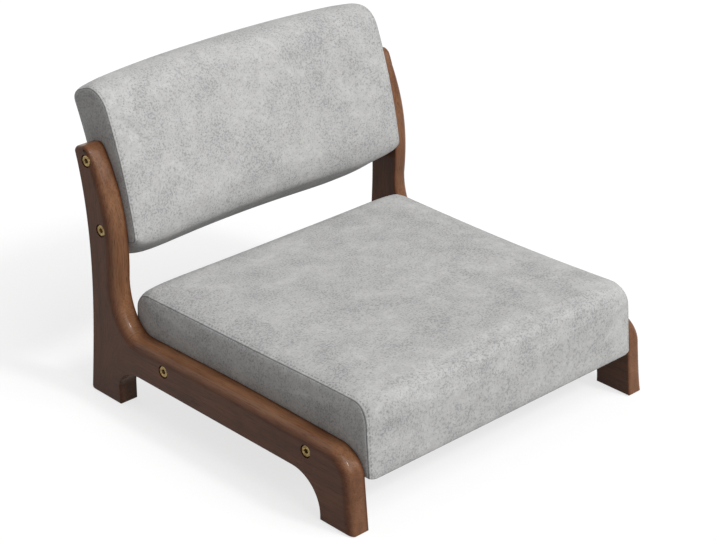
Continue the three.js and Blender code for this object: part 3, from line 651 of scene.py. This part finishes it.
backrest = sewn_pad(
    "backrest_pad", outline=(back_points, back_crowns), rings=90, crown=5, roll=2.2, pull=1.2,
    place_on=back_place,
)
stuffed(backrest, held_below=lower_bolt.y - 24)
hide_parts("backrest_cover")

# Foam inside the pads: the seat's slab with its front and rear skirts, and a thick front and thin
# rear slab in the backrest. Each is cut from open-cell polyurethane and lies just under the cloth.

# Open-cell foam is cream and quite matt, with pores 1.5 mm across.
foam, tree = new_material("open_cell_polyurethane_foam")
place = add(tree, "TexCoord", {}, {}).outputs["Object"]
cells = add(tree, "TexVoronoi", {}, {"Vector": place, "Scale": 1 / (1.5 * mm)})
cell_share = add(tree, "MapRange", {}, {"Value": cells.outputs[0], "From Max": 0.7})
cream = add(tree, "Mix", {"data_type": "RGBA"}, {
    0: cell_share.outputs[0], 6: linear("#cfc6a4"), 7: linear("#efe9d2"),
})
cell_bump = add(tree, "Bump", {}, {
    "Strength": 0.6, "Distance": 0.5 * mm, "Height": cells.outputs[0],
})
shader = add(tree, "BsdfPrincipled", {}, {
    "Base Color": cream.outputs[2], "Roughness": 0.95, "Normal": cell_bump.outputs[0],
})
add(tree, "OutputMaterial", {}, {"Surface": shader.outputs[0]})

voxel, cloth_room = 5 * mm, 4 * mm
for node in ("seat_foam", "backrest_front_foam", "backrest_rear_foam"):
    bm = bmesh.new()
    bm.from_mesh(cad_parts[node].data)
    bmesh.ops.remove_doubles(bm, verts=bm.verts[:], dist=0.01 * mm)
    slab = finished(f"{node}_slab", bm, foam)
    cut = slab.modifiers.new("cut_cells", "REMESH")
    cut.mode = "VOXEL"
    cut.voxel_size = voxel
    apply_modifiers(slab)
    bm = bmesh.new()
    bm.from_mesh(slab.data)
    bm.normal_update()
    sunk = {vert: vert.co - vert.normal * cloth_room for vert in bm.verts}
    for vert, co in sunk.items():
        vert.co = co
    bm.to_mesh(slab.data)
    bm.free()
    slab.data.shade_smooth()
    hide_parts(node)

# Dust cover. Black non-woven cloth is stretched over the underside of the seat and stapled to the
# battens and rails every 35 mm. It hangs a little in the middle and pulls in between the staples.

# The backing is a dull black felt of pressed strands, with small dimples where it was bonded.
backing_cloth, tree = new_material("black_nonwoven_backing_cloth")
place = add(tree, "TexCoord", {}, {}).outputs["Object"]
strands = add(tree, "TexNoise", {}, {
    "Vector": place, "Scale": 1 / (1.6 * mm), "Detail": 4, "Roughness": 0.75, "Distortion": 1.5,
})
pressed = add(tree, "TexVoronoi", {"feature": "DISTANCE_TO_EDGE"}, {
    "Vector": place, "Scale": 1 / (1.4 * mm), "Randomness": 0.3,
})
strand_share = add(tree, "MapRange", {}, {
    "Value": strands.outputs[0], "From Min": 0.35, "From Max": 0.7,
})
black = add(tree, "Mix", {"data_type": "RGBA"}, {
    0: strand_share.outputs[0], 6: linear("#1d1d1f"), 7: linear("#36363a"),
})
pressed_height = add(tree, "Math", {"operation": "ADD"}, {
    0: strands.outputs[0], 1: pressed.outputs[0],
})
backing_bump = add(tree, "Bump", {}, {
    "Strength": 0.4, "Distance": 0.2 * mm, "Height": pressed_height.outputs[0],
})
shader = add(tree, "BsdfPrincipled", {}, {
    "Base Color": black.outputs[2], "Roughness": 0.85, "Normal": backing_bump.outputs[0],
})
add(tree, "OutputMaterial", {}, {"Surface": shader.outputs[0]})

# Zinc plate on the screws, inserts and staples: bright, slightly blue and unevenly dull.
zinc, tree = new_material("zinc_plated_steel")
place = add(tree, "TexCoord", {}, {}).outputs["Object"]
spangle = add(tree, "TexNoise", {}, {"Vector": place, "Scale": 1 / (1.8 * mm), "Detail": 3})
plated = add(tree, "Mix", {"data_type": "RGBA"}, {
    0: spangle.outputs[0], 6: linear("#8f9398"), 7: linear("#c3c7ca"),
})
dullness = add(tree, "MapRange", {}, {
    "Value": spangle.outputs[0], "To Min": 0.45, "To Max": 0.25,
})
shader = add(tree, "BsdfPrincipled", {}, {
    "Base Color": plated.outputs[2], "Metallic": 1, "Roughness": dullness.outputs[0],
})
add(tree, "OutputMaterial", {}, {"Surface": shader.outputs[0]})

cover_low, cover_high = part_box("seat_dust_cover")
cover_size = cover_high - cover_low
cover_middle = (cover_low + cover_high) / 2
staple_step = 35 * mm
pull_in = 0.0035
edge_depth, hang_depth = 0.3 * mm, 1.2 * mm
bm = bmesh.new()
bmesh.ops.create_grid(bm, x_segments=94, y_segments=88, size=0.5)
for vert in bm.verts:
    x, y = vert.co.x, vert.co.y
    between_x = (1 - math.cos(math.tau * x * cover_size.x / staple_step)) / 2
    between_y = (1 - math.cos(math.tau * y * cover_size.y / staple_step)) / 2
    hang = math.cos(math.pi * x) * math.cos(math.pi * y)
    vert.co = (
        cover_middle.x + x * cover_size.x * (1 - pull_in * between_y * abs(2 * x) ** 6),
        cover_middle.y + y * cover_size.y * (1 - pull_in * between_x * abs(2 * y) ** 6),
        cover_high.z - edge_depth - hang_depth * hang,
    )
dust_cover = finished("seat_dust_cover_cloth", bm, backing_cloth)
thick = dust_cover.modifiers.new("cloth", "SOLIDIFY")
thick.thickness = 0.35 * mm
apply_modifiers(dust_cover)
dust_cover.data.shade_smooth()

staple_size = Vector((10, 1.2, 0.6)) * mm
staple_inset, staple_depth, staple_edge = 8 * mm, 0.95 * mm, 0.2 * mm
row_x = cover_size.x / 2 - staple_inset
row_y = cover_size.y / 2 - staple_inset
bm = bmesh.new()
for step in range(-5, 6):
    along = step * staple_step
    for x, y, turn in ((along, -row_y, 0), (along, row_y, 0), (-row_x, along, 90), (row_x, along, 90)):
        at = cover_middle + Vector((x, y, 0))
        placed = Matrix.Translation((at.x, at.y, cover_high.z - staple_depth))
        turned_round = Matrix.Rotation(math.radians(turn), 4, "Z")
        sized = Matrix.Diagonal((*staple_size, 1))
        bmesh.ops.create_cube(bm, size=1, matrix=placed @ turned_round @ sized)
bmesh.ops.bevel(
    bm, geom=bm.edges[:], offset=staple_edge, affect="EDGES", segments=2, profile=0.5, material=-1
)
staples = finished("seat_dust_cover_staples", bm, zinc)
staples.data.shade_smooth()
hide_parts("seat_dust_cover")

# Felt glides. A disc of pressed felt is let into the sole of each foot and stands 1 mm proud,
# so that the chair slides without marking the floor.

# Pressed wool felt is dark and dull, a mat of fibres too fine to tell apart.
felt, tree = new_material("pressed_wool_felt")
place = add(tree, "TexCoord", {}, {}).outputs["Object"]
wool = add(tree, "TexNoise", {}, {
    "Vector": place, "Scale": 1 / (0.8 * mm), "Detail": 5, "Roughness": 0.8, "Distortion": 1,
})
matted = add(tree, "Mix", {"data_type": "RGBA"}, {
    0: wool.outputs[0], 6: linear("#2f2a26"), 7: linear("#5c534a"),
})
wool_bump = add(tree, "Bump", {}, {
    "Strength": 0.7, "Distance": 0.3 * mm, "Height": wool.outputs[0],
})
shader = add(tree, "BsdfPrincipled", {}, {
    "Base Color": matted.outputs[2], "Roughness": 0.98, "Normal": wool_bump.outputs[0],
    "Sheen Weight": 0.2,
})
add(tree, "OutputMaterial", {}, {"Surface": shader.outputs[0]})

felt_radius, felt_thickness = 8.8, 2.5
felt_profile = [
    (0, 0), (7.9, 0), (8.5, 0.15), (8.75, 0.6), (felt_radius, felt_thickness), (0, felt_thickness),
]
for name, side in sides:
    for end in ("front", "rear"):
        low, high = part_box(f"{name}_{end}_foot_glide")
        middle = (low + high) / 2
        bm = bmesh.new()
        turned(bm, felt_profile, Vector((middle.x, middle.y, low.z)), axis=(0, 0, 1))
        glide = finished(f"{name}_{end}_felt_disc", bm, felt)
        glide.data.shade_smooth()
        glide.data.set_sharp_from_angle(angle=math.radians(50))
        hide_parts(f"{name}_{end}_foot_glide")

# Inner wood and fixings, as they are packed. Planed softwood has pale early wood and darker late
# wood a few mm apart, drawn out along each length, and plywood shows its plies at the edges.
for kind, stretch, lengths in (
    ("front_to_back", (1, 0.05, 1), ("left_seat_batten", "right_seat_batten")),
    ("side_to_side", (0.05, 1, 1), ("seat_front_cross_rail", "seat_rear_cross_rail")),
    ("upright", (1, 1, 0.05), ("backrest_left_core_block", "backrest_right_core_block")),
):
    pine, tree = new_material(f"planed_softwood_grain_{kind}")
    place = add(tree, "TexCoord", {}, {}).outputs["Object"]
    drawn_out = add(tree, "Mapping", {}, {"Vector": place, "Scale": stretch})
    rings = add(tree, "TexNoise", {}, {
        "Vector": drawn_out.outputs[0], "Scale": 1 / (14 * mm), "Detail": 2, "Distortion": 0.5,
    })
    late_wood = add(tree, "Math", {"operation": "PINGPONG"}, {0: rings.outputs[0], 1: 0.035})
    late_share = add(tree, "MapRange", {}, {
        "Value": late_wood.outputs[0], "From Min": 0.01, "From Max": 0.035,
    })
    planed = add(tree, "Mix", {"data_type": "RGBA"}, {
        0: late_share.outputs[0], 6: linear("#dcc498"), 7: linear("#b98f5c"),
    })
    plane_bump = add(tree, "Bump", {}, {
        "Strength": 0.2, "Distance": 0.2 * mm, "Height": late_share.outputs[0],
    })
    shader = add(tree, "BsdfPrincipled", {}, {
        "Base Color": planed.outputs[2], "Roughness": 0.65, "Normal": plane_bump.outputs[0],
    })
    add(tree, "OutputMaterial", {}, {"Surface": shader.outputs[0]})
    for node in lengths:
        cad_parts[node].material_slots[0].material = pine

for node, through in (("seat_plywood_board", (0, 0, 1)), ("backrest_plywood_panel", (0, 1, -0.3))):
    plywood, tree = new_material(f"birch_{node}")
    place = add(tree, "TexCoord", {}, {}).outputs["Object"]
    depth = add(tree, "VectorMath", {"operation": "DOT_PRODUCT"}, {0: place, 1: through})
    ply = add(tree, "Math", {"operation": "PINGPONG"}, {0: depth.outputs["Value"], 1: 1.5 * mm})
    ply_share = add(tree, "MapRange", {}, {
        "Value": ply.outputs[0], "From Min": 0.6 * mm, "From Max": 0.9 * mm, "To Max": 0.6,
    })
    veneer_place = add(tree, "Mapping", {}, {"Vector": place, "Scale": (0.06, 1, 1)})
    veneer = add(tree, "TexNoise", {}, {
        "Vector": veneer_place.outputs[0], "Scale": 1 / (6 * mm), "Detail": 5, "Roughness": 0.65,
    })
    pale = add(tree, "Mix", {"data_type": "RGBA"}, {
        0: veneer.outputs[0], 6: linear("#d8bf93"), 7: linear("#bf9d6c"),
    })
    plied = add(tree, "Mix", {"data_type": "RGBA"}, {
        0: ply_share.outputs[0], 6: pale.outputs[2], 7: linear("#9a7448"),
    })
    shader = add(tree, "BsdfPrincipled", {}, {"Base Color": plied.outputs[2], "Roughness": 0.7})
    add(tree, "OutputMaterial", {}, {"Surface": shader.outputs[0]})
    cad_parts[node].material_slots[0].material = plywood

for node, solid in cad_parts.items():
    if node.endswith(("_screw", "_insert")):
        solid.material_slots[0].material = zinc

# Camera at the photograph's angle: a long lens from the front left, a little above. It aims
# near the middle of the chair, shifted so that the chair lies in the frame as photographed.
photo_width, focal_length = 716, 2174.09
distance, shift_right, shift_up = 2.59363, -0.01496, 0.01237
chair_middle = Vector((0, feet_front + 0.227, 0.150))
azimuth, elevation = math.radians(-43.321), math.radians(25.985)
right = Vector((math.cos(azimuth), math.sin(azimuth), 0))
back = Vector((
    math.sin(azimuth) * math.cos(elevation),
    -math.cos(azimuth) * math.cos(elevation),
    math.sin(elevation),
))
up = back.cross(right)
lens = bpy.data.cameras.new("camera")
lens.sensor_width = 36
lens.lens = focal_length / photo_width * lens.sensor_width
camera = bpy.data.objects.new("camera", lens)
bpy.context.scene.collection.objects.link(camera)
camera.location = chair_middle + right * shift_right + up * shift_up + back * distance
camera.rotation_euler = back.to_track_quat("Z", "Y").to_euler()
bpy.context.scene.camera = camera

# Studio floor and light: a white floor that keeps the chair's shadow, a pale room, one very large
# soft lamp from the front right, a small one in it for the highlights and a weak fill behind.
bm = bmesh.new()
bmesh.ops.create_grid(bm, x_segments=1, y_segments=1, size=12)
mesh = bpy.data.meshes.new("floor")
bm.to_mesh(mesh)
bm.free()
floor = bpy.data.objects.new("floor", mesh)
bpy.context.scene.collection.objects.link(floor)

def seen_rays(tree):
    """1 for rays that show the studio, straight or in metal and glass, and 0 for its light."""
    path = add(tree, "LightPath", {}, {})
    shown = add(tree, "Math", {"operation": "ADD"}, {
        0: path.outputs["Is Camera Ray"], 1: path.outputs["Is Glossy Ray"],
    })
    shown = add(tree, "Math", {"operation": "ADD", "use_clamp": True}, {
        0: shown.outputs[0], 1: path.outputs["Is Transmission Ray"],
    })
    return shown.outputs[0]


# Matt white paint on the floor, evened out with some plain white so that it fades into the room.
studio_white, tree = new_material("matt_studio_floor")
seen = seen_rays(tree)
shade = add(tree, "Mix", {"data_type": "RGBA"}, {0: seen, 6: linear("#a8a8a8"), 7: linear("#ffffff")})
matt = add(tree, "BsdfDiffuse", {}, {"Color": shade.outputs[2]})
white = add(tree, "Emission", {}, {})
evened = add(tree, "Math", {"operation": "MULTIPLY"}, {0: seen, 1: 0.72})
even = add(tree, "MixShader", {}, {0: evened.outputs[0], 1: matt.outputs[0], 2: white.outputs[0]})
add(tree, "OutputMaterial", {}, {"Surface": even.outputs[0]})
mesh.materials.append(studio_white)

room = bpy.data.worlds.new("pale_room")
room.use_nodes = True
tree = room.node_tree
tree.nodes.clear()
seen = seen_rays(tree)
shade = add(tree, "Mix", {"data_type": "RGBA"}, {
    0: seen, 6: (0.25, 0.25, 0.25, 1), 7: (1, 1, 1, 1),
})
air = add(tree, "Background", {}, {"Color": shade.outputs[2]})
add(tree, "OutputWorld", {}, {"Surface": air.outputs[0]})
bpy.context.scene.world = room

for name, strength, spread, direction in (
    ("softbox", 2.35, 60, (0.22, -0.66, 0.72)),
    ("spot", 1.1, 9, (0.22, -0.66, 0.72)),
    ("back_fill", 0.8, 90, (-0.1, 0.95, 0.3)),
):
    lamp = bpy.data.lights.new(name, "SUN")
    lamp.energy = strength
    lamp.angle = math.radians(spread)
    lit = bpy.data.objects.new(name, lamp)
    bpy.context.scene.collection.objects.link(lit)
    lit.rotation_euler = Vector(direction).to_track_quat("Z", "Y").to_euler()
bpy.context.scene.view_settings.view_transform = "Standard"
